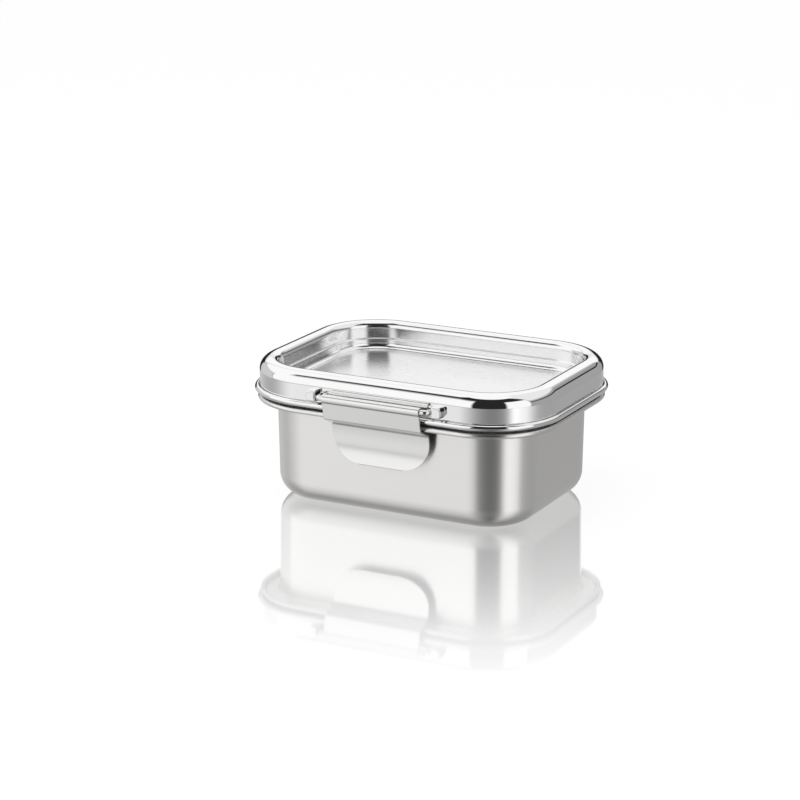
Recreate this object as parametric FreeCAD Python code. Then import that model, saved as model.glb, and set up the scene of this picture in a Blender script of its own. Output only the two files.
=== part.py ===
import FreeCAD, Part
import math
import os

# A steel lunch box: a deep-drawn tub, a pressed lid with a seal in its rim, and on each long
# side a stamped clip that hangs on a cranked wire and hooks under the tub's rim.
# Millimetres, +Z up, origin at the middle of the base, front clip towards -Y.
# Sections are drawn in two numbers: out, the distance outwards from the lid's upright wall,
# and z. The tub, lid and seal carry their section round one rectangle with round corners.

# Tub
TUB_HEIGHT = 50.6           # top of the rim
TUB_SHEET = 0.65
TUB_INSET = 8.6             # from the lid's upright wall in to the tub's wall, at the top
TUB_DRAFT_DEG = 1.0
TUB_BASE_BEND = 11.0
TUB_NECK_BEND = 1.6
TUB_BEAD_RADIUS = 1.3
TUB_BEAD_REACH = 0.9        # rim's outer edge, outwards from the lid's upright wall

# Lid
LID_LENGTH = 153.0          # over the upright wall, along X
LID_WIDTH = 115.0           # over the upright wall, along Y
LID_CORNER = 33.9           # plan radius of the upright wall
LID_GAP = 1.4               # tub's rim to the lid's lower edge
LID_DEPTH = 16.3            # lower edge to the top of the rim
LID_SHEET = 0.65
RIM_WIDTH = 10.0            # from the upright wall to the recess
RIM_OUTER_BEND = 6.0
RIM_INNER_BEND = 3.5
RIM_CROWN_DEG = 8.0         # half the turn of the rim's domed top
RECESS_DEPTH = 13.3         # rim's top to the recessed panel
PAN_BEND = 3.0
LEDGE_DEPTH = 8.3           # rim's top to the step in the recess wall
LEDGE_WIDTH = 1.5
LEDGE_BEND = 0.6
HEM_RADIUS = 1.5            # rolled lower edge
ROLL_DEG = 290.0            # how far a rolled edge closes on itself

# Seal in the hollow of the lid's rim
SEAL_CLEARANCE = 0.15       # to the steel round it
SEAL_EASE = 0.68            # its top corners, as a share of the rim's bends
SEAL_BODY_DEPTH = 8.3       # seal's top to the lips
SEAL_FOOT_WIDTH = 4.9       # the two lips that stand on the tub's rim
SEAL_GROOVE_WIDTH = 1.7
SEAL_GROOVE_HEIGHT = 3.0
SEAL_FOOT_INSET = 0.5       # from the seal's outer side to the foot

# Clip wire and the lugs pressed out of the lid that hold its ends
WIRE_RADIUS = 1.3
WIRE_CLEARANCE = 0.05
PIVOT_OUT = 1.8             # wire ends, in the lugs
PIVOT_RISE = 6.6            # above the lid's lower edge
CRANK_REACH = 2.8           # how far the wire's middle stands outside its ends
CRANK_BEND = 1.8
LUG_INNER = 30.3            # open end of a lug, from the middle of the side
LUG_LENGTH = 5.3
LUG_SLOPE = 0.7             # how much lower the face of a lug is than its root, at each edge
LUG_EDGE = 0.9
LUG_PLAY = 0.15             # above and below the wire
WIRE_END_GAP = 1.6

# Clip
CLIP_SHEET = 0.8
CLIP_WIDTH = 50.6
CURL_DEG = 280.0            # round the wire, to where the plate would leave it straight
NECK_DEG = 40.0             # the curl goes on by this much and turns back, so that it stands proud
NECK_BEND = 1.0
PLATE_GAP = 2.55            # tub's rim to the foot of the plate
HOOK_LIFT = 0.85            # foot of the plate above the rim's underside
HOOK_BEND = 0.6
HOOK_REACH = 8.2            # foot of the plate in to the tongue's head, under the tub's rim
HOOK_DROP_DEG = 26.0
VALLEY_BEND = 2.0
TONGUE_SLANT_DEG = 13.0     # tongue's head slants in by this much, and its foot flares out again
TONGUE_BEND = 38.0
TONGUE_TURN_DEG = 25.0
TONGUE_LENGTH = 22.35       # foot of the plate to the tongue's lower edge
TONGUE_CORNER = 14.0

# Levels and places that follow
LID_FOOT = TUB_HEIGHT + LID_GAP
LID_HEIGHT = LID_FOOT + LID_DEPTH
HEM_MIDDLE = LID_FOOT + HEM_RADIUS
PAN_HEIGHT = LID_HEIGHT - RECESS_DEPTH
LEDGE_HEIGHT = LID_HEIGHT - LEDGE_DEPTH
PIVOT_HEIGHT = LID_FOOT + PIVOT_RISE
WIRE_OUT = PIVOT_OUT + CRANK_REACH
PLATE_FOOT = TUB_HEIGHT - 2 * TUB_BEAD_RADIUS + HOOK_LIFT
PLATE_FOOT_OUT = TUB_BEAD_REACH + PLATE_GAP + CLIP_SHEET / 2
TONGUE_FOOT = PLATE_FOOT - TONGUE_LENGTH
HALF_LENGTH = LID_LENGTH / 2
HALF_WIDTH = LID_WIDTH / 2
CORNER_X = HALF_LENGTH - LID_CORNER
CORNER_Y = HALF_WIDTH - LID_CORNER
UP = FreeCAD.Vector(0, 0, 1)
ORIGIN = FreeCAD.Vector(0, 0, 0)
QUARTER = 90.0


def on_section(out, z):
    """A point of a section that is carried round the corners: X is the distance from a corner's axis."""
    return FreeCAD.Vector(LID_CORNER + out, 0, z)


def on_front(x, out, z):
    """A point of the front side."""
    return FreeCAD.Vector(x, -HALF_WIDTH - out, z)


def trace(start, heading_deg, moves, offset, place):
    """Edges along a path of straight runs and tangent arcs, offset to the left, and where the path ends.

    A move is (None, length) for a run, or (radius, degrees) for an arc, positive to the left.
    """
    edges = []
    u, v = start
    heading = math.radians(heading_deg)
    for radius, amount in moves:
        left = (-math.sin(heading), math.cos(heading))
        if radius is None:
            ends = []
            for step in (0.0, amount):
                ends.append(place(u + step * math.cos(heading) + offset * left[0],
                                  v + step * math.sin(heading) + offset * left[1]))
            edges.append(Part.LineSegment(*ends).toShape())
            u += amount * math.cos(heading)
            v += amount * math.sin(heading)
            continue
        side = math.copysign(1.0, amount)
        centre = (u + side * radius * left[0], v + side * radius * left[1])
        turn = math.radians(amount)
        points = []
        for share in (0.0, 0.5, 1.0):
            angle = heading + share * turn
            reach = offset - side * radius
            points.append(place(centre[0] - reach * math.sin(angle), centre[1] + reach * math.cos(angle)))
        edges.append(Part.Arc(*points).toShape())
        heading += turn
        u = centre[0] + side * radius * math.sin(heading)
        v = centre[1] - side * radius * math.cos(heading)
    return edges, (u, v), math.degrees(heading)


def strip_face(start, heading_deg, moves, sheet, place):
    """Section of a bent sheet whose middle line follows the moves."""
    left, _, _ = trace(start, heading_deg, moves, sheet / 2, place)
    right, _, _ = trace(start, heading_deg, moves, -sheet / 2, place)
    caps = []
    for index, which in ((0, 0), (-1, -1)):
        ends = [side[index].Vertexes[which].Point for side in (left, right)]
        caps.append(Part.LineSegment(*ends).toShape())
    outline = Part.Wire(Part.__sortEdges__(left + right + caps))
    return Part.Face(outline)


def polygon_face(points):
    return Part.Face(Part.makePolygon(points + points[:1]))


def carry_round(section):
    """Carries a section round the rectangle with round corners: four corners and four straight sides."""
    pieces = []
    corners = ((CORNER_X, CORNER_Y), (-CORNER_X, CORNER_Y), (-CORNER_X, -CORNER_Y), (CORNER_X, -CORNER_Y))
    for index, (x, y) in enumerate(corners):
        axis = FreeCAD.Vector(x, y, 0)
        start = section.copy()
        start.rotate(ORIGIN, UP, index * QUARTER)
        start.translate(axis)
        pieces.append(start.revolve(axis, UP, QUARTER))
        after = start.copy()
        after.rotate(axis, UP, QUARTER)
        next_x, next_y = corners[(index + 1) % len(corners)]
        pieces.append(after.extrude(FreeCAD.Vector(next_x - x, next_y - y, 0)))
    return pieces


def middle_plate(top, sheet):
    """The flat sheet between the corners' axes."""
    corner = FreeCAD.Vector(-CORNER_X, -CORNER_Y, top - sheet)
    return Part.makeBox(2 * CORNER_X, 2 * CORNER_Y, sheet, corner)


def join(pieces):
    return pieces[0].multiFuse(pieces[1:]).removeSplitter()


def to_rear(shape):
    """The same piece on the rear side."""
    turned = shape.copy()
    turned.rotate(ORIGIN, UP, 180)
    return turned


def tub_section():
    """Base, bend, drafted wall, neck, flange and rolled bead as one bent sheet."""
    half = TUB_SHEET / 2
    rise_deg = QUARTER - TUB_DRAFT_DEG
    rise = math.radians(rise_deg)
    base_bend = TUB_BASE_BEND - half
    neck_bend = TUB_NECK_BEND + half
    wall_foot = half + base_bend * (1 - math.cos(rise))
    wall_head = TUB_HEIGHT - half - neck_bend * (1 - math.cos(rise))
    wall_run = (wall_head - wall_foot) / math.sin(rise)
    wall_head_out = -TUB_INSET - half * math.sin(rise)
    base_run = LID_CORNER + wall_head_out - wall_run * math.cos(rise) - base_bend * math.sin(rise)
    flange_start = wall_head_out + neck_bend * math.sin(rise)
    flange_run = TUB_BEAD_REACH - TUB_BEAD_RADIUS - flange_start
    moves = ((None, base_run), (base_bend, rise_deg), (None, wall_run), (neck_bend, -rise_deg),
             (None, flange_run), (TUB_BEAD_RADIUS - half, -ROLL_DEG))
    return strip_face((-LID_CORNER, half), 0, moves, TUB_SHEET, on_section)


def lid_section():
    """Recessed panel, stepped wall, domed rim, upright wall and rolled hem as one bent sheet."""
    half = LID_SHEET / 2
    crown = math.radians(RIM_CROWN_DEG)
    upper_out = half - RIM_WIDTH
    lower_out = upper_out - LEDGE_WIDTH
    pan_bend = PAN_BEND + half
    inner_bend = RIM_INNER_BEND - half
    outer_bend = RIM_OUTER_BEND - half
    narrowing = 1 - math.sin(crown)
    crown_chord = (-half - outer_bend * narrowing) - (upper_out + inner_bend * narrowing)
    crown_radius = crown_chord / (2 * math.sin(crown))
    crown_edge = LID_HEIGHT - half - crown_radius * (1 - math.cos(crown))
    inner_head = crown_edge - inner_bend * math.cos(crown)
    outer_head = crown_edge - outer_bend * math.cos(crown)
    corner_deg = QUARTER - RIM_CROWN_DEG
    pan_middle = PAN_HEIGHT - half
    ledge_middle = LEDGE_HEIGHT - half
    moves = ((None, LID_CORNER + lower_out - pan_bend), (pan_bend, QUARTER),
             (None, ledge_middle - LEDGE_BEND - pan_middle - pan_bend), (LEDGE_BEND, -QUARTER),
             (None, LEDGE_WIDTH - 2 * LEDGE_BEND), (LEDGE_BEND, QUARTER),
             (None, inner_head - ledge_middle - LEDGE_BEND), (inner_bend, -corner_deg),
             (crown_radius, -2 * RIM_CROWN_DEG), (outer_bend, -corner_deg),
             (None, outer_head - HEM_MIDDLE), (HEM_RADIUS - half, ROLL_DEG))
    return strip_face((-LID_CORNER, pan_middle), 0, moves, LID_SHEET, on_section)


def lug_face_out():
    return PIVOT_OUT + WIRE_RADIUS + WIRE_CLEARANCE + LID_SHEET


def lug_block(inset, length, root):
    """One lug of the front side as a solid; inset leaves the sheet's thickness for the hollow inside it."""
    face_half = WIRE_RADIUS + LUG_PLAY + LID_SHEET - inset
    root_half = face_half + LUG_SLOPE
    face = lug_face_out() - inset
    corners = ((root, root_half), (face, face_half), (face, -face_half), (root, -root_half))
    section = [on_front(LUG_INNER, out, PIVOT_HEIGHT + rise) for out, rise in corners]
    return polygon_face(section).extrude(FreeCAD.Vector(length, 0, 0))


def pressed_lug():
    """Outer form of a lug, with the edges of its face eased, and the hollow that the wire's end lies in."""
    block = lug_block(0.0, LUG_LENGTH, -LID_SHEET)
    face_y = on_front(0, lug_face_out(), 0).y
    closed_end = LUG_INNER + LUG_LENGTH
    eased = []
    for edge in block.Edges:
        middle = edge.CenterOfMass
        on_face = abs(middle.y - face_y) < LUG_EDGE and middle.x > LUG_INNER + LUG_EDGE
        at_end = abs(middle.x - closed_end) < LUG_EDGE and middle.y < -HALF_WIDTH
        if on_face or at_end:
            eased.append(edge)
    hollow = lug_block(LID_SHEET, LUG_LENGTH - LID_SHEET, -2 * LID_SHEET)
    return block.makeFillet(LUG_EDGE, eased), hollow


def four_ways(shape):
    """A lug's shape at the right and left of the front, and at both ends of the rear."""
    mirrored = shape.mirror(ORIGIN, FreeCAD.Vector(1, 0, 0))
    return [shape, mirrored, to_rear(shape), to_rear(mirrored)]


def make_tub():
    return join(carry_round(tub_section()) + [middle_plate(TUB_SHEET, TUB_SHEET)])


def make_lid():
    shell = join(carry_round(lid_section()) + [middle_plate(PAN_HEIGHT, LID_SHEET)])
    block, hollow = pressed_lug()
    shell = join([shell] + four_ways(block))
    for space in four_ways(hollow):
        shell = shell.cut(space)
    return shell.removeSplitter()


def make_seal():
    """A soft ring in the rim's hollow, with two lips that stand on the tub's rim."""
    outer = -LID_SHEET - SEAL_CLEARANCE
    inner = LID_SHEET + SEAL_CLEARANCE - RIM_WIDTH
    crown = math.radians(RIM_CROWN_DEG)
    top = LID_HEIGHT - LID_SHEET - SEAL_CLEARANCE - RIM_WIDTH * math.tan(crown) / 2
    outer_ease = RIM_OUTER_BEND * SEAL_EASE
    inner_ease = RIM_INNER_BEND * SEAL_EASE
    foot_outer = outer - SEAL_FOOT_INSET
    foot_inner = foot_outer - SEAL_FOOT_WIDTH
    lip = (SEAL_FOOT_WIDTH - SEAL_GROOVE_WIDTH) / 2
    foot = TUB_HEIGHT + SEAL_CLEARANCE
    body = top - SEAL_BODY_DEPTH
    groove = foot + SEAL_GROOVE_HEIGHT
    corners = ((inner, body), (inner, top - inner_ease), (inner + inner_ease, top),
               (outer - outer_ease, top), (outer, top - outer_ease), (outer, body),
               (foot_outer, body), (foot_outer, foot), (foot_outer - lip, foot),
               (foot_outer - lip, groove), (foot_inner + lip, groove), (foot_inner + lip, foot),
               (foot_inner, foot), (foot_inner, body))
    return join(carry_round(polygon_face([on_section(out, z) for out, z in corners])))


def make_wire():
    """The front clip's wire: its ends lie in the lugs, and its cranked middle carries the clip."""
    turn_deg = math.degrees(math.acos(1 - CRANK_REACH / (2 * CRANK_BEND)))
    crank_length = 2 * CRANK_BEND * math.sin(math.radians(turn_deg))
    end = LUG_INNER + LUG_LENGTH - LID_SHEET - WIRE_END_GAP
    end_run = end - LUG_INNER
    span = 2 * (LUG_INNER - crank_length)
    moves = ((None, end_run), (CRANK_BEND, turn_deg), (CRANK_BEND, -turn_deg), (None, span),
             (CRANK_BEND, -turn_deg), (CRANK_BEND, turn_deg), (None, end_run))
    edges, _, _ = trace((-end, PIVOT_OUT), 0, moves, 0.0, lambda x, out: on_front(x, out, PIVOT_HEIGHT))
    ring = Part.Circle(on_front(-end, PIVOT_OUT, PIVOT_HEIGHT), FreeCAD.Vector(1, 0, 0), WIRE_RADIUS)
    return Part.Wire(edges).makePipeShell([Part.Wire(ring.toShape())], True, False)


def clip_section():
    """Curl round the wire, neck, leaning plate, hook under the rim and flared tongue as one bent sheet.

    The plate runs from the neck to a foot at a set gap from the tub's rim, on a line that passes the
    wire's middle at the distance plate_offset.
    """
    curl = WIRE_RADIUS + WIRE_CLEARANCE + CLIP_SHEET / 2
    neck = math.radians(NECK_DEG)
    plate_offset = (curl + NECK_BEND) * math.cos(neck) - NECK_BEND
    inwards = WIRE_OUT - PLATE_FOOT_OUT
    down = PIVOT_HEIGHT - PLATE_FOOT
    lean_deg = math.degrees(math.atan2(inwards, down) + math.asin(plate_offset / math.hypot(inwards, down)))
    plate_heading = -QUARTER - lean_deg
    start_angle = math.radians(plate_heading + QUARTER + CURL_DEG)
    start = (WIRE_OUT + curl * math.cos(start_angle), PIVOT_HEIGHT + curl * math.sin(start_angle))
    hook_turn = QUARTER - lean_deg - HOOK_DROP_DEG
    hook_setback = HOOK_BEND * math.tan(math.radians(hook_turn) / 2)
    plate_end = math.sqrt(inwards ** 2 + down ** 2 - plate_offset ** 2) - hook_setback
    plate_run = plate_end - (curl + NECK_BEND) * math.sin(neck)
    valley_turn = QUARTER - HOOK_DROP_DEG - TONGUE_SLANT_DEG
    valley_setback = VALLEY_BEND * math.tan(math.radians(valley_turn) / 2)
    hook_run = HOOK_REACH / math.cos(math.radians(HOOK_DROP_DEG)) - hook_setback - valley_setback
    to_flare = [(curl, -CURL_DEG - NECK_DEG), (NECK_BEND, NECK_DEG), (None, plate_run),
                (HOOK_BEND, -hook_turn), (None, hook_run),
                (VALLEY_BEND, valley_turn), (TONGUE_BEND, TONGUE_TURN_DEG)]
    _, flare_end, heading = trace(start, plate_heading + CURL_DEG, to_flare, 0.0,
                                  lambda out, z: on_front(0, out, z))
    last_run = (TONGUE_FOOT - flare_end[1]) / math.sin(math.radians(heading))
    moves = to_flare + [(None, last_run)]
    return strip_face(start, plate_heading + CURL_DEG, moves, CLIP_SHEET,
                      lambda out, z: on_front(-CLIP_WIDTH / 2, out, z))


def tongue_outline():
    """Front view of the clip, with the tongue's lower corners rounded, as a deep block."""
    half = CLIP_WIDTH / 2
    margin = LID_HEIGHT
    run_up = LID_HEIGHT - TONGUE_FOOT - TONGUE_CORNER
    moves = ((None, run_up), (TONGUE_CORNER, QUARTER), (None, CLIP_WIDTH - 2 * TONGUE_CORNER),
             (TONGUE_CORNER, QUARTER), (None, run_up))
    edges, _, _ = trace((-half, LID_HEIGHT), -QUARTER, moves, 0.0, lambda x, z: on_front(x, -margin, z))
    edges.append(Part.LineSegment(on_front(half, -margin, LID_HEIGHT),
                                  on_front(-half, -margin, LID_HEIGHT)).toShape())
    return Part.Face(Part.Wire(edges)).extrude(FreeCAD.Vector(0, -2 * margin, 0))


def make_clip():
    stamped = clip_section().extrude(FreeCAD.Vector(CLIP_WIDTH, 0, 0))
    return stamped.common(tongue_outline()).removeSplitter()


def main():
    os.makedirs("parts", exist_ok=True)
    clip = make_clip()
    wire = make_wire()
    nodes = {
        "box_tub": make_tub(),
        "lid_shell": make_lid(),
        "lid_seal": make_seal(),
        "front_clip_wire": wire,
        "front_clip": clip,
        "rear_clip_wire": to_rear(wire),
        "rear_clip": to_rear(clip),
    }
    for name, shape in nodes.items():
        shape.exportStep("parts/" + name + ".step")
        box = shape.BoundBox
        print(name, "solids", len(shape.Solids), "valid", shape.isValid(), "volume", round(shape.Volume, 1),
              "z", round(box.ZMin, 2), round(box.ZMax, 2), "y", round(box.YMin, 2), round(box.YMax, 2))


main()
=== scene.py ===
import math
from typing import NamedTuple

import bpy
import numpy as np
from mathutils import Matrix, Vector


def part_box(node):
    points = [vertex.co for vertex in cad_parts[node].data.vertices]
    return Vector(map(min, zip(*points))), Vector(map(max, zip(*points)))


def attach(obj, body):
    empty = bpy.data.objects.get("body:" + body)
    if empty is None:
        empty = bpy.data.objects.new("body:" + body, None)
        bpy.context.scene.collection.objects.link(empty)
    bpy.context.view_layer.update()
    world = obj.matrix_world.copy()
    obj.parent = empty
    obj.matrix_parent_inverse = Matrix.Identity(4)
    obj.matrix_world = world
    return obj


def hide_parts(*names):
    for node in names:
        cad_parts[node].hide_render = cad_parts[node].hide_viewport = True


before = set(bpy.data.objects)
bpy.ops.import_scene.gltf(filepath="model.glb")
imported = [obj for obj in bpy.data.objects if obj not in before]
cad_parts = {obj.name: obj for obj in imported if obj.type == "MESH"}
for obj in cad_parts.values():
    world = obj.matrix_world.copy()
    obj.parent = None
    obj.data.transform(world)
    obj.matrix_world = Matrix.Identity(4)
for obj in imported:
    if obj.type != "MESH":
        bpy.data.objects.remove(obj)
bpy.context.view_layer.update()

bl_info = {
    "name": "Steel Lunch Box",
    "version": (1, 0, 0),
    "blender": (4, 5, 0),
    "location": "View3D > Sidebar > Lunch Box",
    "description": "Builds a steel lunch box with two clips on its packed frame, and a white studio",
    "category": "Add Mesh",
}

# Places read from the frame, in metres
MM = 0.001
_, TUB_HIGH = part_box("box_tub")
LID_LOW, LID_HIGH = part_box("lid_shell")
WIRE_LOW, WIRE_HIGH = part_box("front_clip_wire")
CLIP_LOW, CLIP_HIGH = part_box("front_clip")
WIRE_RADIUS = (WIRE_HIGH.z - WIRE_LOW.z) / 2
WIRE_LEVEL = (WIRE_HIGH.z + WIRE_LOW.z) / 2
SIDES = {"front": 1, "rear": -1}
QUARTER = math.pi / 2

# Fineness of the surfaces: steps of arcs, corners, sheet ends and wires, and greatest spacing of points
ARC_STEP = math.radians(5)
CORNER_STEPS = 30
CAP_STEPS = 6
TUBE_STEPS = 24
LUG_SPACING = 0.6 * MM
CLIP_SPACING = 0.4 * MM
# Rows across a clip, as shares of its half width, close together at its edges
CLIP_ROWS = np.concatenate([[-1, -0.985], np.linspace(-0.95, 0.95, 9), [0.985, 1]])
# Flat border between a lug's rounded edge and its face
LUG_BORDER = 0.3 * MM
# Eased edges of a clip: steps, and the least angle that is eased
EDGE_STEPS = 2
EDGE_ANGLE = math.radians(60)


class Grain(NamedTuple):
    """Grain of a steel: scale and stretch of the pattern, its play of roughness, and its bump in metres."""

    scale: float
    stretch: tuple
    spread: float
    relief: float


TUB_GRAIN = Grain(60.0, (1.0, 1.0, 24.0), 0.05, 0.002 * MM)
LID_GRAIN = Grain(45.0, (1.0, 1.0, 1.0), 0.02, 0.001 * MM)
CLIP_GRAIN = Grain(55.0, (1.0, 40.0, 40.0), 0.12, 0.004 * MM)
WIRE_GRAIN = Grain(80.0, (1.0, 20.0, 20.0), 0.05, 0.002 * MM)
WIRE_ROUGHNESS = 0.12
NOISE_DETAIL = 3.0

# All steels: wide smears, and the darker lines of the grain
SMEAR_SCALE = 35.0
SMEAR_SHARE = 0.35
LINE_LIMITS = (0.3, 0.7)
LINE_SHADE = 0.985
QUARTER_TURN = 0.25
# Satin of the lid's recess: softness of its edges, as a share of the panel's bend and in metres
PANEL_SOFTNESS = 0.6
RECESS_SOFTNESS = 0.5 * MM

# Silicone of the seal
MOTTLE_SCALE = 90.0
MOTTLE_SHADE = 0.94
MOTTLE_SPREAD = 0.1
SKIN_SCALE = 900.0
SKIN_STRENGTH = 0.3
SKIN_RELIEF = 0.05 * MM
SILICONE_IOR = 1.41
SILICONE_SPECULAR = 0.1
SILICONE_CLEARNESS = 0.95


def length(name, description, default):
    """A size in metres."""
    return bpy.props.FloatProperty(name=name, description=description, default=default, min=0.0,
                                   unit="LENGTH", subtype="DISTANCE", precision=5)


def angle(name, description, degrees):
    """An angle, set here in degrees."""
    return bpy.props.FloatProperty(name=name, description=description, default=math.radians(degrees),
                                   unit="ROTATION", subtype="ANGLE")


def share(name, description, default):
    """A number from 0 to 1."""
    return bpy.props.FloatProperty(name=name, description=description, default=default, min=0.0, max=1.0,
                                   subtype="FACTOR")


def colour(name, description, default):
    """A linear colour."""
    return bpy.props.FloatVectorProperty(name=name, description=description, default=default, size=3,
                                         min=0.0, max=1.0, subtype="COLOR")


class TubSettings(bpy.types.PropertyGroup):
    """The drawn steel tub."""

    sheet: length("Sheet", "Thickness of the steel", 0.65 * MM)
    bead_radius: length("Bead radius", "Radius of the rolled rim", 1.3 * MM)
    bead_roll: angle("Bead roll", "How far the rolled rim closes on itself", 290.0)
    bead_reach: length("Bead reach", "Rim's outer edge, outwards from the lid's wall", 0.9 * MM)
    inset: length("Inset", "From the lid's wall in to the tub's wall, at the top", 8.6 * MM)
    draft: angle("Draft", "Slant of the wall", 1.0)
    base_bend: length("Base bend", "Outer radius where wall and base meet", 11.0 * MM)
    neck_bend: length("Neck bend", "Outer radius where wall and rim meet", 1.6 * MM)
    tint: colour("Tint", "Colour of the satin steel", (0.945, 0.937, 0.922))
    roughness: share("Roughness", "Roughness of the satin steel", 0.3)
    brushed: share("Brushed", "How much more the satin spreads light up and down", 0.7)


class LidSettings(bpy.types.PropertyGroup):
    """The pressed steel lid."""

    sheet: length("Sheet", "Thickness of the steel", 0.65 * MM)
    corner: length("Corner", "Plan radius of the upright wall", 33.9 * MM)
    rim_width: length("Rim width", "From the upright wall to the recess", 10.0 * MM)
    outer_bend: length("Outer bend", "Outer radius of the rim", 6.0 * MM)
    inner_bend: length("Inner bend", "Radius at the recess", 3.5 * MM)
    crown: angle("Crown", "Half the turn of the domed rim", 8.0)
    recess_depth: length("Recess depth", "Rim's top to the panel", 13.3 * MM)
    pan_bend: length("Pan bend", "Radius where panel and recess wall meet", 3.0 * MM)
    ledge_depth: length("Ledge depth", "Rim's top to the step in the recess wall", 8.3 * MM)
    ledge_width: length("Ledge width", "Width of that step", 1.5 * MM)
    ledge_bend: length("Ledge bend", "Radius of the step's bends", 0.6 * MM)
    hem_radius: length("Hem radius", "Radius of the rolled lower edge", 1.5 * MM)
    hem_roll: angle("Hem roll", "How far the hem closes on itself", 268.0)
    tint: colour("Tint", "Colour of the polished steel", (0.955, 0.955, 0.958))
    roughness: share("Roughness", "Roughness of the polished steel", 0.035)
    satin: share("Satin", "How much rougher the recess is than the rim", 0.12)


class SealSettings(bpy.types.PropertyGroup):
    """The soft ring in the lid's rim."""

    tint: colour("Tint", "Colour of the silicone", (0.86, 0.87, 0.86))
    roughness: share("Roughness", "Roughness of the silicone", 0.42)


class ClipSettings(bpy.types.PropertyGroup):
    """A stamped clip, its cranked wire and the lugs that hold it."""

    sheet: length("Sheet", "Thickness of the clip", 0.8 * MM)
    curl: angle("Curl", "How far the clip's top goes round the wire", 280.0)
    neck: angle("Neck", "How far the curl goes on and turns back, to stand proud", 40.0)
    neck_bend: length("Neck bend", "Radius below the curl", 1.0 * MM)
    plate_gap: length("Plate gap", "Tub's rim to the foot of the plate", 2.55 * MM)
    hook_lift: length("Hook lift", "Foot of the plate above the rim's underside", 0.85 * MM)
    hook_bend: length("Hook bend", "Radius below the plate", 0.6 * MM)
    hook_drop: angle("Hook drop", "Slant of the hook", 26.0)
    hook_reach: length("Hook reach", "Foot of the plate in to the tongue's head", 8.2 * MM)
    valley_bend: length("Valley bend", "Radius above the tongue", 2.0 * MM)
    tongue_slant: angle("Tongue slant", "Inward slant of the tongue's head", 13.0)
    tongue_bend: length("Tongue bend", "Radius of the tongue's outward curve", 38.0 * MM)
    tongue_turn: angle("Tongue turn", "Turn of that curve", 25.0)
    tongue_corner: length("Tongue corner", "Radius of the tongue's lower corners", 14.0 * MM)
    edge: length("Edge", "Easing of the clip's cut edges", 0.12 * MM)
    wire_clearance: length("Wire clearance", "Play of the wire in the curl and the lugs", 0.05 * MM)
    crank_reach: length("Crank reach", "Wire's middle outside its ends", 2.8 * MM)
    crank_bend: length("Crank bend", "Radius of the wire's bends", 1.8 * MM)
    pivot_out: length("Pivot", "Wire's ends, outwards from the lid's wall", 1.8 * MM)
    lug_inner: length("Lug", "Open end of a lug, from the middle of the side", 30.3 * MM)
    lug_length: length("Lug length", "Length of a lug along the side", 5.3 * MM)
    lug_height: length("Lug height", "Height of a lug at its root", 5.6 * MM)
    lug_corner: length("Lug corner", "Radius of a lug's corners at its closed end", 1.8 * MM)
    lug_edge: length("Lug edge", "Radius of a lug's edge", 0.5 * MM)
    lug_slant: angle("Lug slant", "Steepness of a lug's sides", 82.0)
    tint: colour("Tint", "Colour of the clips' steel", (0.885, 0.881, 0.87))
    roughness: share("Roughness", "Roughness of the clips' steel", 0.2)


class StageSettings(bpy.types.PropertyGroup):
    """Camera, floor and light."""

    lens: bpy.props.FloatProperty(name="Lens", description="Focal length", default=117.47, unit="CAMERA")
    camera_place: bpy.props.FloatVectorProperty(name="Camera", description="Place of the camera", size=3,
                                                default=(0.5442, -1.0818, 0.38975), subtype="TRANSLATION")
    camera_aim: bpy.props.FloatVectorProperty(name="Aim", description="Direction of the camera", size=3,
                                              default=(-0.44306, 0.85378, -0.27341), subtype="DIRECTION")
    floor_size: length("Floor", "Side of the floor", 6.0)
    floor_glow: share("Floor glow", "How much of the floor's look is plain white", 0.335)
    floor_mirror: share("Floor mirror", "How much of the floor's look is a mirror image", 0.58)
    mirror_reach: length("Mirror reach", "How far from the object's middle the floor mirrors fully", 0.08)
    mirror_end: length("Mirror end", "How far from the object's middle the floor mirrors at all", 0.28)
    floor_shade: share("Floor shade", "How much of the floor's look takes the object's shadow", 0.1)


class LunchBoxSettings(bpy.types.PropertyGroup):
    """All settings of the lunch box."""

    tub: bpy.props.PointerProperty(type=TubSettings)
    lid: bpy.props.PointerProperty(type=LidSettings)
    seal: bpy.props.PointerProperty(type=SealSettings)
    clip: bpy.props.PointerProperty(type=ClipSettings)
    stage: bpy.props.PointerProperty(type=StageSettings)


def wall_half(settings):
    """Half length and half width over the lid's upright wall, from the tub's box."""
    reach = settings.tub.bead_reach
    return np.array([TUB_HIGH.x - reach, TUB_HIGH.y - reach])


def bent_path(start, heading, moves, spacing=math.inf):
    """Points and left normals along a path of straight runs and tangent arcs.

    A move is (None, length) or (radius, turn), positive to the left. On an arc of radius r about c the
    point at heading h is c + sign * r * (sin h, -cos h); no two points are further apart than spacing.
    """
    point = np.array(start, dtype=float)
    points = [point[None, :]]
    headings = [np.array([heading])]
    for radius, amount in moves:
        if radius is None:
            steps = max(1, math.ceil(amount / spacing))
            along = np.linspace(0, amount, steps + 1)[1:, None]
            run = point + along * np.array([math.cos(heading), math.sin(heading)])
            turned = np.full(steps, heading)
        else:
            steps = max(2, math.ceil(max(abs(amount) / ARC_STEP, abs(amount) * radius / spacing)))
            turned = heading + np.linspace(0, amount, steps + 1)[1:]
            signed = math.copysign(radius, amount)
            centre = point + signed * np.array([-math.sin(heading), math.cos(heading)])
            run = centre + signed * np.stack([np.sin(turned), -np.cos(turned)], axis=1)
            heading = turned[-1]
        point = run[-1]
        points.append(run)
        headings.append(turned)
    turned = np.concatenate(headings)
    return np.concatenate(points), np.stack([-np.sin(turned), np.cos(turned)], axis=1)


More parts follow.
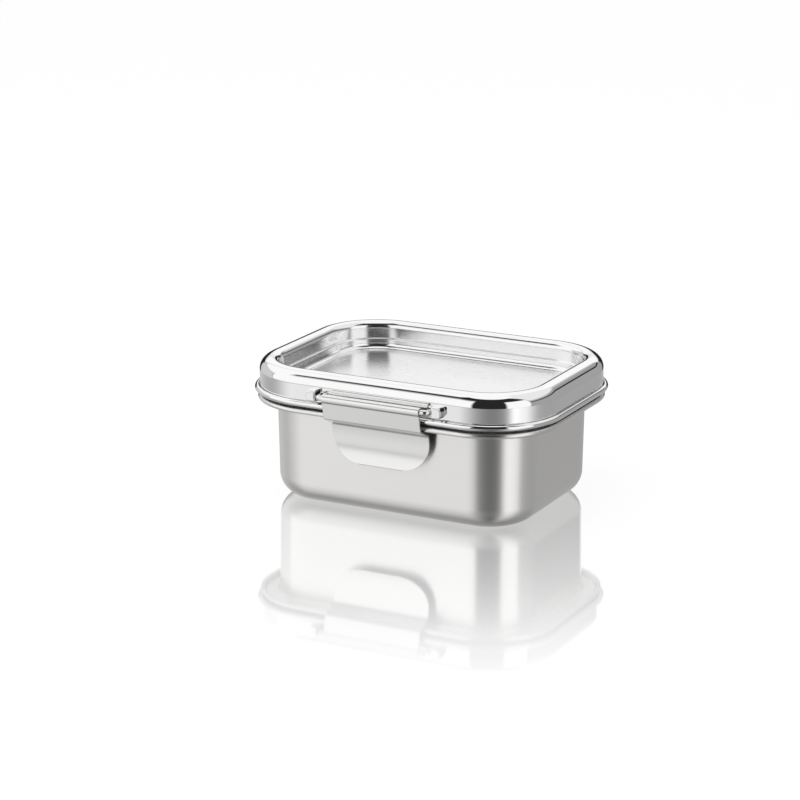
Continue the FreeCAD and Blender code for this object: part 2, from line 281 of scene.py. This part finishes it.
def sheet_section(path, normals, sheet, both_ends=False):
    """Outline of a bent sheet: its left face, a round end, its right face back, and a round start if asked.

    Each point is path + sheet / 2 * n; n is the left normal, then turns half round at the sheet's end.
    """
    turn = np.linspace(0, math.pi, CAP_STEPS + 1)[1:-1, None]

    def cap(normal):
        forward = np.array([normal[1], -normal[0]])
        return np.cos(turn) * normal + np.sin(turn) * forward

    out_normals = [normals, cap(normals[-1]), -normals[::-1]]
    centres = [path, np.repeat(path[-1:], CAP_STEPS - 1, axis=0), path[::-1]]
    if both_ends:
        out_normals.append(cap(-normals[0]))
        centres.append(np.repeat(path[:1], CAP_STEPS - 1, axis=0))
    facing = np.concatenate(out_normals)
    return np.concatenate(centres) + sheet / 2 * facing, facing


def grid_faces(rows, columns, wrap_rows):
    """Four-sided faces of a grid of points, row after row."""
    row = np.arange(rows if wrap_rows else rows - 1)[:, None]
    column = np.arange(columns - 1)[None, :]
    here = row * columns + column
    there = ((row + 1) % rows) * columns + column
    return np.stack([here, here + 1, there + 1, there], axis=-1).reshape(-1, 4)


def add_piece(name, points, faces, normals=None):
    """A mesh object at the origin, smooth, with exact normals where they are known."""
    mesh = bpy.data.meshes.new(name)
    mesh.from_pydata(points.reshape(-1, 3).tolist(), [], faces)
    mesh.update()
    mesh.polygons.foreach_set("use_smooth", np.ones(len(mesh.polygons), dtype=bool))
    if normals is not None:
        mesh.normals_split_custom_set_from_vertices(normals.reshape(-1, 3).tolist())
    piece = bpy.data.objects.new(name, mesh)
    bpy.context.scene.collection.objects.link(piece)
    return piece


def carried_round(name, section, facing, half, corner):
    """A sheet's outline carried round a rectangle with round corners, with its middle closed flat.

    At angle a of a corner with axis (cx, cy), a section point (out, z) lies at
    (cx + (corner + out) cos a, cy + (corner + out) sin a, z). Four quarter turns, joined by flat sides.
    """
    turn = np.linspace(0, QUARTER, CORNER_STEPS + 1)
    around = np.concatenate([turn + index * QUARTER for index in range(4)])[:, None]
    signs = np.array([[1, 1], [-1, 1], [-1, -1], [1, -1]])
    axes = np.repeat(signs * (half - corner), CORNER_STEPS + 1, axis=0)
    reach = corner + section[None, :, 0]
    points = np.stack([axes[:, :1] + reach * np.cos(around), axes[:, 1:] + reach * np.sin(around),
                       np.broadcast_to(section[:, 1], (len(around), len(section)))], axis=-1)
    normals = np.stack([facing[:, 0] * np.cos(around), facing[:, 0] * np.sin(around),
                        np.broadcast_to(facing[:, 1], (len(around), len(section)))], axis=-1)
    rows, columns = points.shape[:2]
    faces = grid_faces(rows, columns, True).tolist()
    faces.append([row * columns for row in range(rows)])
    faces.append([row * columns + columns - 1 for row in reversed(range(rows))])
    return add_piece(name, points, faces, normals)


def make_tub(settings):
    """Base, bend, drafted wall, neck, flange and rolled bead as one bent sheet."""
    tub = settings.tub
    half_sheet = tub.sheet / 2
    rise = QUARTER - tub.draft
    base_bend = tub.base_bend - half_sheet
    neck_bend = tub.neck_bend + half_sheet
    wall_foot = half_sheet + base_bend * (1 - math.cos(rise))
    wall_head = TUB_HIGH.z - half_sheet - neck_bend * (1 - math.cos(rise))
    wall_run = (wall_head - wall_foot) / math.sin(rise)
    head_out = -tub.inset - half_sheet * math.sin(rise)
    base_out = head_out - wall_run * math.cos(rise) - base_bend * math.sin(rise)
    flange_run = tub.bead_reach - tub.bead_radius - head_out - neck_bend * math.sin(rise)
    moves = ((base_bend, rise), (None, wall_run), (neck_bend, -rise), (None, flange_run),
             (tub.bead_radius - half_sheet, -tub.bead_roll))
    path, normals = bent_path((base_out, half_sheet), 0.0, moves)
    section, facing = sheet_section(path, normals, tub.sheet)
    return carried_round("tub_body", section, facing, wall_half(settings), settings.lid.corner)


def make_lid(settings):
    """Panel, stepped recess wall, domed rim, upright wall and rolled hem as one bent sheet."""
    lid = settings.lid
    half_sheet = lid.sheet / 2
    top = LID_HIGH.z - half_sheet
    pan = LID_HIGH.z - lid.recess_depth - half_sheet
    ledge = LID_HIGH.z - lid.ledge_depth - half_sheet
    hem_middle = LID_LOW.z + lid.hem_radius
    upper_out = half_sheet - lid.rim_width
    lower_out = upper_out - lid.ledge_width
    pan_bend = lid.pan_bend + half_sheet
    inner_bend = lid.inner_bend - half_sheet
    outer_bend = lid.outer_bend - half_sheet
    narrowing = 1 - math.sin(lid.crown)
    chord = -half_sheet - outer_bend * narrowing - upper_out - inner_bend * narrowing
    crown_radius = chord / (2 * math.sin(lid.crown))
    crown_edge = top - crown_radius * (1 - math.cos(lid.crown))
    inner_head = crown_edge - inner_bend * math.cos(lid.crown)
    outer_head = crown_edge - outer_bend * math.cos(lid.crown)
    shoulder = QUARTER - lid.crown
    moves = ((pan_bend, QUARTER), (None, ledge - lid.ledge_bend - pan - pan_bend),
             (lid.ledge_bend, -QUARTER), (None, lid.ledge_width - 2 * lid.ledge_bend),
             (lid.ledge_bend, QUARTER), (None, inner_head - ledge - lid.ledge_bend),
             (inner_bend, -shoulder), (crown_radius, -2 * lid.crown), (outer_bend, -shoulder),
             (None, outer_head - hem_middle), (lid.hem_radius - half_sheet, lid.hem_roll))
    path, normals = bent_path((lower_out - pan_bend, pan), 0.0, moves)
    section, facing = sheet_section(path, normals, lid.sheet)
    return carried_round("lid_cover", section, facing, wall_half(settings), lid.corner)


def make_lugs(settings):
    """Four pads pressed out of the long sides, open towards the middle.

    Along a pad's outline p, with inward normal n, runs the profile (d, stand) of its side and rounded edge,
    at p + d n; a flat face closes it.
    """
    clip = settings.clip
    face = clip.pivot_out + WIRE_RADIUS + clip.wire_clearance + settings.lid.sheet
    run = clip.lug_length - clip.lug_corner
    sides = ((None, run), (clip.lug_corner, QUARTER), (None, clip.lug_height - 2 * clip.lug_corner),
             (clip.lug_corner, QUARTER), (None, run))
    outline, inwards = bent_path((clip.lug_inner, WIRE_LEVEL - clip.lug_height / 2), 0.0, sides, LUG_SPACING)
    side_run = (face - clip.lug_edge * (1 - math.cos(clip.lug_slant))) / math.sin(clip.lug_slant)
    edge = ((None, side_run), (clip.lug_edge, -clip.lug_slant), (None, LUG_BORDER))
    profile, _ = bent_path((0, 0), clip.lug_slant, edge, LUG_SPACING)
    flat = outline[:, None] + profile[:, 0, None] * inwards[:, None]
    rows, columns = flat.shape[:2]
    stand = np.broadcast_to(-wall_half(settings)[1] - profile[:, 1], (rows, columns))
    pad = np.stack([flat[..., 0], stand, flat[..., 1]], axis=-1).reshape(-1, 3)
    one = grid_faces(rows, columns, False).tolist()
    one.append([row * columns + columns - 1 for row in reversed(range(rows))])
    places = []
    faces = []
    for count, (mirror_x, mirror_y) in enumerate(((1, 1), (-1, 1), (1, -1), (-1, -1))):
        places.append(pad * np.array([mirror_x, mirror_y, 1]))
        order = -1 if mirror_x * mirror_y > 0 else 1
        faces += [[index + count * len(pad) for index in face_points[::order]] for face_points in one]
    piece = add_piece("lid_lugs", np.concatenate(places), faces)
    wall = piece.modifiers.new("Sheet", "SOLIDIFY")
    wall.thickness = settings.lid.sheet
    wall.offset = -1.0
    return piece


def make_wire(settings, side):
    """A wire whose ends lie in the lugs and whose cranked middle carries the clip.

    Round each point p of its path, with level normal n, lies the ring p + r (n cos t + up sin t).
    """
    clip = settings.clip
    turn = math.acos(1 - clip.crank_reach / (2 * clip.crank_bend))
    crank_length = 2 * clip.crank_bend * math.sin(turn)
    end_run = WIRE_HIGH.x - clip.lug_inner
    span = 2 * (clip.lug_inner - crank_length)
    moves = ((None, end_run), (clip.crank_bend, turn), (clip.crank_bend, -turn), (None, span),
             (clip.crank_bend, -turn), (clip.crank_bend, turn), (None, end_run))
    path, normals = bent_path((-WIRE_HIGH.x, clip.pivot_out), 0.0, moves)
    around = np.linspace(0, 2 * math.pi, TUBE_STEPS + 1)[:, None]
    flat = path[None] + WIRE_RADIUS * np.cos(around)[..., None] * normals[None]
    rise = np.broadcast_to(WIRE_LEVEL + WIRE_RADIUS * np.sin(around), flat.shape[:2])
    half_width = wall_half(settings)[1]
    points = np.stack([flat[..., 0], -half_width - flat[..., 1], rise], axis=-1)[:-1]
    faces = grid_faces(points.shape[0], points.shape[1], True)
    closed = [list(range(0, points.shape[0] * points.shape[1], points.shape[1]))]
    closed.append([index + points.shape[1] - 1 for index in reversed(closed[0])])
    turned = points * np.array([SIDES[side], SIDES[side], 1])
    return add_piece(side + "_wire_rod", turned, faces.tolist() + closed)


def clip_path(settings):
    """Points and normals of a clip's sheet: curl, neck, leaning plate, hook under the rim and flared tongue.

    The plate is tangent to the neck's arc and runs to the foot. With (i, d) the way from the wire in and down
    to the foot, and o the plate's offset from the wire, it leans by atan2(i, d) + asin(o / hypot(i, d)).
    """
    clip = settings.clip
    curl = WIRE_RADIUS + clip.wire_clearance + clip.sheet / 2
    wire_out = clip.pivot_out + clip.crank_reach
    foot_out = settings.tub.bead_reach + clip.plate_gap + clip.sheet / 2
    foot_level = TUB_HIGH.z - 2 * settings.tub.bead_radius + clip.hook_lift
    inwards = wire_out - foot_out
    down = WIRE_LEVEL - foot_level
    offset = (curl + clip.neck_bend) * math.cos(clip.neck) - clip.neck_bend
    lean = math.atan2(inwards, down) + math.asin(offset / math.hypot(inwards, down))
    start_angle = clip.curl - lean
    start = (wire_out + curl * math.cos(start_angle), WIRE_LEVEL + curl * math.sin(start_angle))
    hook_turn = QUARTER - lean - clip.hook_drop
    hook_setback = clip.hook_bend * math.tan(hook_turn / 2)
    plate_end = math.sqrt(inwards ** 2 + down ** 2 - offset ** 2) - hook_setback
    plate_run = plate_end - (curl + clip.neck_bend) * math.sin(clip.neck)
    valley_turn = QUARTER - clip.hook_drop - clip.tongue_slant
    valley_setback = clip.valley_bend * math.tan(valley_turn / 2)
    hook_run = clip.hook_reach / math.cos(clip.hook_drop) - hook_setback - valley_setback
    to_flare = [(curl, -clip.curl - clip.neck), (clip.neck_bend, clip.neck), (None, plate_run),
                (clip.hook_bend, -hook_turn), (None, hook_run),
                (clip.valley_bend, valley_turn), (clip.tongue_bend, clip.tongue_turn)]
    heading = start_angle - QUARTER
    reached, _ = bent_path(start, heading, to_flare)
    last_heading = heading - clip.curl - hook_turn + valley_turn + clip.tongue_turn
    last_run = (CLIP_LOW.z - reached[-1, 1]) / math.sin(last_heading)
    return bent_path(start, heading, to_flare + [(None, last_run)], CLIP_SPACING)


def make_clip(settings, side):
    """A clip: its bent sheet carried across its width, with round lower corners and eased edges.

    A section point (out, z) is carried to x = u * h(z), with u from -1 to 1; h is half the width, less
    r - sqrt(r^2 - d^2) at a depth d into the round corners of radius r.
    """
    clip = settings.clip
    path, normals = clip_path(settings)
    section, _ = sheet_section(path, normals, clip.sheet, both_ends=True)
    depth = np.clip(CLIP_LOW.z + clip.tongue_corner - section[:, 1], 0, clip.tongue_corner)
    half = CLIP_HIGH.x - clip.tongue_corner + np.sqrt(clip.tongue_corner ** 2 - depth ** 2)
    shape = (len(CLIP_ROWS), len(section))
    rows, columns = shape
    half_width = wall_half(settings)[1]
    points = np.stack([CLIP_ROWS[:, None] * half, np.broadcast_to(-half_width - section[:, 0], shape),
                       np.broadcast_to(section[:, 1], shape)], axis=-1)
    ring = np.arange(columns)
    row = np.arange(rows - 1)[:, None] * columns
    beside = np.roll(ring, -1)
    faces = np.stack([row + ring, row + beside, row + columns + beside, row + columns + ring], axis=-1)
    faces = faces.reshape(-1, 4).tolist()
    count = len(path)
    left = np.arange(count)
    right = 2 * count + CAP_STEPS - 2 - left
    last_row = (rows - 1) * columns
    strips = np.stack([left[:-1], left[1:], right[1:], right[:-1]], axis=-1)
    faces += strips[:, ::-1].tolist()
    faces += (strips + last_row).tolist()
    ends = [list(range(count - 1, count + CAP_STEPS)),
            list(range(2 * count + CAP_STEPS - 2, columns)) + [0]]
    for end in ends:
        faces.append(end[::-1])
        faces.append([index + last_row for index in end])
    turned = points * np.array([SIDES[side], SIDES[side], 1])
    piece = add_piece(side + "_clip_plate", turned, faces)
    eased = piece.modifiers.new("Edges", "BEVEL")
    eased.width = clip.edge
    eased.segments = EDGE_STEPS
    eased.limit_method = "ANGLE"
    eased.angle_limit = EDGE_ANGLE
    return piece


class Value:
    """A number in a node tree: arithmetic on it adds Math nodes."""

    def __init__(self, nodes, socket):
        self.nodes = nodes
        self.socket = socket

    def math(self, operation, *values):
        """A Math node on these values."""
        return self.nodes.node("ShaderNodeMath", {"operation": operation}, dict(enumerate(values)))

    def __add__(self, other):
        return self.math("ADD", self, other)

    def __sub__(self, other):
        return self.math("SUBTRACT", self, other)

    def __mul__(self, other):
        return self.math("MULTIPLY", self, other)

    def __truediv__(self, other):
        return self.math("DIVIDE", self, other)

    def __radd__(self, other):
        return self.math("ADD", other, self)

    def __rsub__(self, other):
        return self.math("SUBTRACT", other, self)

    def __rmul__(self, other):
        return self.math("MULTIPLY", other, self)

    def __neg__(self):
        return self.math("MULTIPLY", self, -1.0)

    def between(self, low, high):
        """0 at low, 1 at high, smooth between."""
        return self.nodes.node("ShaderNodeMapRange", {"interpolation_type": "SMOOTHSTEP"},
                               {"Value": self, "From Min": low, "From Max": high})


class Nodes:
    """The node tree of a material or world."""

    def __init__(self, owner):
        owner.use_nodes = True
        self.tree = owner.node_tree
        self.tree.nodes.clear()

    def node(self, kind, settings=None, inputs=None, output=0):
        """Adds a node, sets it, fills its sockets with values or links, and gives one of its outputs."""
        made = self.tree.nodes.new(kind)
        for name, setting in (settings or {}).items():
            setattr(made, name, setting)
        for name, value in (inputs or {}).items():
            if isinstance(value, Value):
                self.tree.links.new(value.socket, made.inputs[name])
            else:
                made.inputs[name].default_value = value
        return Value(self, made.outputs[output])

    def finish(self, kind, shader):
        """Links the shader to the output node."""
        made = self.tree.nodes.new(kind)
        self.tree.links.new(shader.socket, made.inputs["Surface"])


def noise(nodes, scale, stretch=(1.0, 1.0, 1.0)):
    """Noise in object space, from 0 to 1, stretched along the axes."""
    place = nodes.node("ShaderNodeTexCoord", output="Object")
    scaled = nodes.node("ShaderNodeMapping", {}, {"Vector": place, "Scale": stretch})
    return nodes.node("ShaderNodeTexNoise", {}, {"Vector": scaled, "Scale": scale, "Detail": NOISE_DETAIL})


def recess_share(nodes, settings):
    """2 on the lid's panel, 1 on the wall of its recess, 0 on its rim and outer wall.

    hypot(max(|x| - a, 0), max(|y| - b, 0)) - corner is the distance outwards from the upright wall, with
    (a, b) the axis of the round corner.
    """
    lid = settings.lid
    place = nodes.node("ShaderNodeTexCoord", output="Object")
    beyond = []
    for index, half in enumerate(wall_half(settings)):
        along = nodes.node("ShaderNodeSeparateXYZ", {}, {"Vector": place}, output=index)
        reach = along.math("ABSOLUTE", along) - (half - lid.corner)
        beyond.append(reach.math("MAXIMUM", reach, 0.0))
    squares = beyond[0] * beyond[0] + beyond[1] * beyond[1]
    outwards = squares.math("SQRT", squares) - lid.corner
    panel_edge = -lid.rim_width - lid.ledge_width - lid.pan_bend
    on_panel = outwards.between(panel_edge + PANEL_SOFTNESS * lid.pan_bend, panel_edge)
    return on_panel + outwards.between(-lid.rim_width + lid.inner_bend, -lid.rim_width - RECESS_SOFTNESS)


def shaded(nodes, tint, dark, factor):
    """The tint where the factor is 1, and dark times the tint where it is 0."""
    darker = [part * dark for part in tint]
    return nodes.node("ShaderNodeMix", {"data_type": "RGBA"},
                      {"Factor": factor, "A": (*darker, 1.0), "B": (*tint, 1.0)}, output=2)


def steel(name, tint, roughness, grain, brushed=0.0, satin=None):
    """Bare steel: grain drawn along one direction, and faint wide smears.

    brushed spreads the light up and down, and satin(nodes) is added to the roughness.
    """
    material = bpy.data.materials.new(name)
    nodes = Nodes(material)
    lines = noise(nodes, grain.scale, grain.stretch)
    smears = noise(nodes, SMEAR_SCALE)
    rough = roughness + grain.spread * (lines - 0.5) + SMEAR_SHARE * grain.spread * (smears - 0.5)
    if satin:
        rough = rough + satin(nodes)
    shade = shaded(nodes, tint, LINE_SHADE, lines.between(*LINE_LIMITS))
    bump = nodes.node("ShaderNodeBump", {}, {"Strength": 1.0, "Distance": grain.relief, "Height": lines})
    shader = nodes.node("ShaderNodeBsdfPrincipled", {},
                        {"Base Color": shade, "Metallic": 1.0, "Roughness": rough, "Normal": bump,
                         "Anisotropic": brushed, "Anisotropic Rotation": QUARTER_TURN})
    nodes.finish("ShaderNodeOutputMaterial", shader)
    return material


def silicone(name, tint, roughness):
    """Soft, see-through white rubber with a matt skin."""
    material = bpy.data.materials.new(name)
    nodes = Nodes(material)
    mottle = noise(nodes, MOTTLE_SCALE)
    shade = shaded(nodes, tint, MOTTLE_SHADE, mottle)
    rough = roughness + MOTTLE_SPREAD * (mottle - 0.5)
    skin = noise(nodes, SKIN_SCALE)
    bump = nodes.node("ShaderNodeBump", {},
                      {"Strength": SKIN_STRENGTH, "Distance": SKIN_RELIEF, "Height": skin})
    shader = nodes.node("ShaderNodeBsdfPrincipled", {},
                        {"Base Color": shade, "Roughness": rough, "Normal": bump, "IOR": SILICONE_IOR,
                         "Specular IOR Level": SILICONE_SPECULAR, "Transmission Weight": SILICONE_CLEARNESS})
    nodes.finish("ShaderNodeOutputMaterial", shader)
    return material


def seat(piece, material, body, node=None):
    """Gives a piece its material and its body, and hides the CAD node that it stands for."""
    piece.data.materials.clear()
    piece.data.materials.append(material)
    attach(piece, body)
    if node:
        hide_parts(node)


class LUNCHBOX_OT_tub(bpy.types.Operator):
    """Builds the satin steel tub"""

    bl_idname = "lunch_box.tub"
    bl_label = "Tub"

    def execute(self, context):
        settings = context.scene.lunch_box
        tub = settings.tub
        metal = steel("tub_satin_steel", tub.tint, tub.roughness, TUB_GRAIN, brushed=tub.brushed)
        piece = make_tub(settings)
        seat(piece, metal, "tub", "box_tub")
        return {"FINISHED"}


class LUNCHBOX_OT_lid(bpy.types.Operator):
    """Builds the polished lid and its lugs"""

    bl_idname = "lunch_box.lid"
    bl_label = "Lid"

    def execute(self, context):
        settings = context.scene.lunch_box
        lid = settings.lid
        metal = steel("lid_polished_steel", lid.tint, lid.roughness, LID_GRAIN,
                      satin=lambda nodes: lid.satin * recess_share(nodes, settings))
        cover = make_lid(settings)
        seat(cover, metal, "lid", "lid_shell")
        lugs = make_lugs(settings)
        seat(lugs, metal, "lid")
        return {"FINISHED"}


class LUNCHBOX_OT_seal(bpy.types.Operator):
    """Gives the seal its silicone"""

    bl_idname = "lunch_box.seal"
    bl_label = "Seal"

    def execute(self, context):
        seal = context.scene.lunch_box.seal
        ring = bpy.data.objects["lid_seal"]
        ring.data.materials.clear()
        ring.data.materials.append(silicone("seal_silicone", seal.tint, seal.roughness))
        return {"FINISHED"}


class LUNCHBOX_OT_clips(bpy.types.Operator):
    """Builds both clips and their wires"""

    bl_idname = "lunch_box.clips"
    bl_label = "Clips"

    def execute(self, context):
        settings = context.scene.lunch_box
        clip = settings.clip
        brushed = steel("clip_brushed_steel", clip.tint, clip.roughness, CLIP_GRAIN)
        drawn = steel("wire_drawn_steel", clip.tint, WIRE_ROUGHNESS, WIRE_GRAIN)
        for side in SIDES:
            plate = make_clip(settings, side)
            seat(plate, brushed, side + "_clip", side + "_clip")
            rod = make_wire(settings, side)
            seat(rod, drawn, side + "_wire", side + "_clip_wire")
        return {"FINISHED"}


# Directions in the studio are degrees from the front towards +X, and heights are sines of the elevation.
# Light pools below the horizon: direction, half width and strength
GROUND_BASE = 0.36
GROUND_POOLS = (
    (-138, 38, 0.23),
    (-35, 29, 0.5),
    (27, 31, -0.15),
    (63, 9, 0.35),
    (78, 20, 0.58),
)
# Losses of light towards straight down: height where each begins, height where it ends, and share lost
GROUND_LOSSES = ((-0.35, -0.75, 0.25), (-0.75, -1.0, 0.3))
HORIZON = (-0.258, -0.238)
# Light panels: lowest and highest direction, heights of foot and head, softness of both, and strength
WALL_SHADE = 0.02
WALL_PANELS = (
    (-78, -4, -0.22, 0.72, 0.1, 1.0),
    (-125, -58, 0.3, 1.2, 0.1, 1.0),
    (-125, -78, -0.25, 0.5, 0.01, 0.62),
    (51, 92, -0.25, 0.66, 0.04, 1.0),
    (92, 178, -0.25, 0.25, 0.01, 0.36),
    (92, 178, 0.33, 0.6, 0.01, 0.34),
    (92, 178, 0.44, 1.2, 0.1, 0.85),
    (-184, -125, 0.2, 0.29, 0.01, 0.86),
    (-184, -125, 0.266, 1.2, 0.004, 1.0),
    (-190, 190, 0.945, 1.2, 0.01, 1.0),
)
TURN_SOFTNESS = math.radians(3.0)
# Light that isn't mirrored: from the world and from the floor
PLAIN_LIGHT = 0.72
FLOOR_LIGHT = 0.8
FLOOR_ROUGHNESS = 0.05
WHITE = (1.0, 1.0, 1.0, 1.0)
# Camera and lamp
SENSOR_WIDTH = 36.0
LAMP_POWER = 6.0
LAMP_SIZE = 1.2
LAMP_PLACE = (-0.3, -0.4, 1.1)


def turned_from(around, direction):
    """Turn from a direction in degrees, from -pi to pi."""
    return around.math("WRAP", around - math.radians(direction), math.pi, -math.pi)


def ground_light(around, z):
    """base + sum of strength * exp(-(d / width)^2), with d the turn from a pool; darker straight down."""
    total = GROUND_BASE
    for direction, width, strength in GROUND_POOLS:
        far = turned_from(around, direction) / math.radians(width)
        total = total + strength * far.math("EXPONENT", -(far * far))
    steep = 1.0
    for begin, end, lost in GROUND_LOSSES:
        steep = steep - lost * z.between(begin, end)
    return total * steep


def wall_light(around, z):
    """The brightest of the panels that a direction meets, each 1 inside and soft at its edges."""
    total = WALL_SHADE
    for left, right, foot, head, soft, strength in WALL_PANELS:
        half = math.radians(right - left) / 2
        turn = turned_from(around, (left + right) / 2)
        off = turn.math("ABSOLUTE", turn)
        inside = 1.0 - off.between(half - TURN_SOFTNESS, half + TURN_SOFTNESS)
        inside = inside * z.between(foot - soft, foot + soft) * (1.0 - z.between(head - soft, head + soft))
        total = z.math("MAXIMUM", inside * strength, total)
    return total


def floor_material(stage):
    """White to the camera, with the object's shadow and fading mirror image; pale to the rest."""
    material = bpy.data.materials.new("studio_floor")
    nodes = Nodes(material)
    white = nodes.node("ShaderNodeEmission", {}, {"Strength": stage.floor_glow})
    mirror = nodes.node("ShaderNodeBsdfGlossy", {},
                        {"Color": (*[stage.floor_mirror] * 3, 1.0), "Roughness": FLOOR_ROUGHNESS})
    plain = nodes.node("ShaderNodeEmission", {}, {"Strength": stage.floor_glow + stage.floor_mirror})
    place = nodes.node("ShaderNodeTexCoord", output="Object")
    away = nodes.node("ShaderNodeVectorMath", {"operation": "LENGTH"}, {0: place}, output="Value")
    far = away.between(stage.mirror_reach, stage.mirror_end)
    seen = nodes.node("ShaderNodeAddShader", {}, {0: white, 1: mirror})
    seen = nodes.node("ShaderNodeMixShader", {}, {0: far, 1: seen, 2: plain})
    matt = nodes.node("ShaderNodeBsdfDiffuse", {}, {"Color": (*[stage.floor_shade] * 3, 1.0)})
    seen = nodes.node("ShaderNodeAddShader", {}, {0: seen, 1: matt})
    pale = nodes.node("ShaderNodeEmission", {}, {"Strength": FLOOR_LIGHT})
    camera_ray = nodes.node("ShaderNodeLightPath", output="Is Camera Ray")
    shader = nodes.node("ShaderNodeMixShader", {}, {0: camera_ray, 1: pale, 2: seen})
    nodes.finish("ShaderNodeOutputMaterial", shader)
    return material


def studio_world():
    """White to the camera; light pools and panels to mirrors; pale to the rest."""
    world = bpy.data.worlds.new("studio")
    nodes = Nodes(world)
    direction = nodes.node("ShaderNodeTexCoord", output="Generated")
    x, y, z = [nodes.node("ShaderNodeSeparateXYZ", {}, {"Vector": direction}, output=index)
               for index in range(3)]
    around = x.math("ARCTAN2", x, -y)
    above = z.between(*HORIZON)
    glow = z.math("MAXIMUM", ground_light(around, z) * (1.0 - above), wall_light(around, z))
    mirrored, plain, white = [nodes.node("ShaderNodeBackground", {}, {"Color": WHITE, "Strength": strength})
                              for strength in (glow, PLAIN_LIGHT, 1.0)]
    glossy_ray = nodes.node("ShaderNodeLightPath", output="Is Glossy Ray")
    camera_ray = nodes.node("ShaderNodeLightPath", output="Is Camera Ray")
    unseen = nodes.node("ShaderNodeMixShader", {}, {0: glossy_ray, 1: plain, 2: mirrored})
    shader = nodes.node("ShaderNodeMixShader", {}, {0: camera_ray, 1: unseen, 2: white})
    nodes.finish("ShaderNodeOutputWorld", shader)
    return world


class LUNCHBOX_OT_stage(bpy.types.Operator):
    """Sets up the camera, the white floor and the light"""

    bl_idname = "lunch_box.stage"
    bl_label = "Stage"

    def execute(self, context):
        scene = context.scene
        stage = scene.lunch_box.stage
        reach = stage.floor_size / 2
        corners = np.array([[-reach, -reach, 0], [reach, -reach, 0], [reach, reach, 0], [-reach, reach, 0]])
        floor = add_piece("floor", corners, [[0, 1, 2, 3]])
        floor.data.materials.append(floor_material(stage))
        floor.visible_glossy = False
        scene.world = studio_world()
        eye = bpy.data.objects.new("camera", bpy.data.cameras.new("camera"))
        eye.data.lens = stage.lens
        eye.data.sensor_width = SENSOR_WIDTH
        eye.location = stage.camera_place
        eye.rotation_euler = Vector(stage.camera_aim).to_track_quat("-Z", "Y").to_euler()
        scene.collection.objects.link(eye)
        scene.camera = eye
        lamp = bpy.data.objects.new("overhead", bpy.data.lights.new("overhead", "AREA"))
        lamp.data.energy = LAMP_POWER
        lamp.data.size = LAMP_SIZE
        lamp.location = LAMP_PLACE
        lamp.rotation_euler = (-lamp.location).to_track_quat("-Z", "Y").to_euler()
        lamp.visible_glossy = False
        scene.collection.objects.link(lamp)
        scene.view_settings.view_transform = "Standard"
        return {"FINISHED"}


class LUNCHBOX_PT_panel(bpy.types.Panel):
    """Settings and steps of the lunch box"""

    bl_label = "Lunch Box"
    bl_idname = "LUNCHBOX_PT_panel"
    bl_space_type = "VIEW_3D"
    bl_region_type = "UI"
    bl_category = "Lunch Box"

    def draw(self, context):
        settings = context.scene.lunch_box
        for group in ("tub", "lid", "seal", "clip", "stage"):
            box = self.layout.box()
            for name in getattr(settings, group).__annotations__:
                box.prop(getattr(settings, group), name)
        for step in STEPS:
            self.layout.operator(step.bl_idname)


STEPS = (LUNCHBOX_OT_tub, LUNCHBOX_OT_lid, LUNCHBOX_OT_seal, LUNCHBOX_OT_clips, LUNCHBOX_OT_stage)
CLASSES = (TubSettings, LidSettings, SealSettings, ClipSettings, StageSettings, LunchBoxSettings, *STEPS,
           LUNCHBOX_PT_panel)


def register():
    for one in CLASSES:
        bpy.utils.register_class(one)
    bpy.types.Scene.lunch_box = bpy.props.PointerProperty(type=LunchBoxSettings)


def unregister():
    del bpy.types.Scene.lunch_box
    for one in reversed(CLASSES):
        bpy.utils.unregister_class(one)


def main():
    register()
    bpy.ops.lunch_box.tub()
    bpy.ops.lunch_box.lid()
    bpy.ops.lunch_box.seal()
    bpy.ops.lunch_box.clips()
    bpy.ops.lunch_box.stage()


if __name__ == "__main__":
    main()
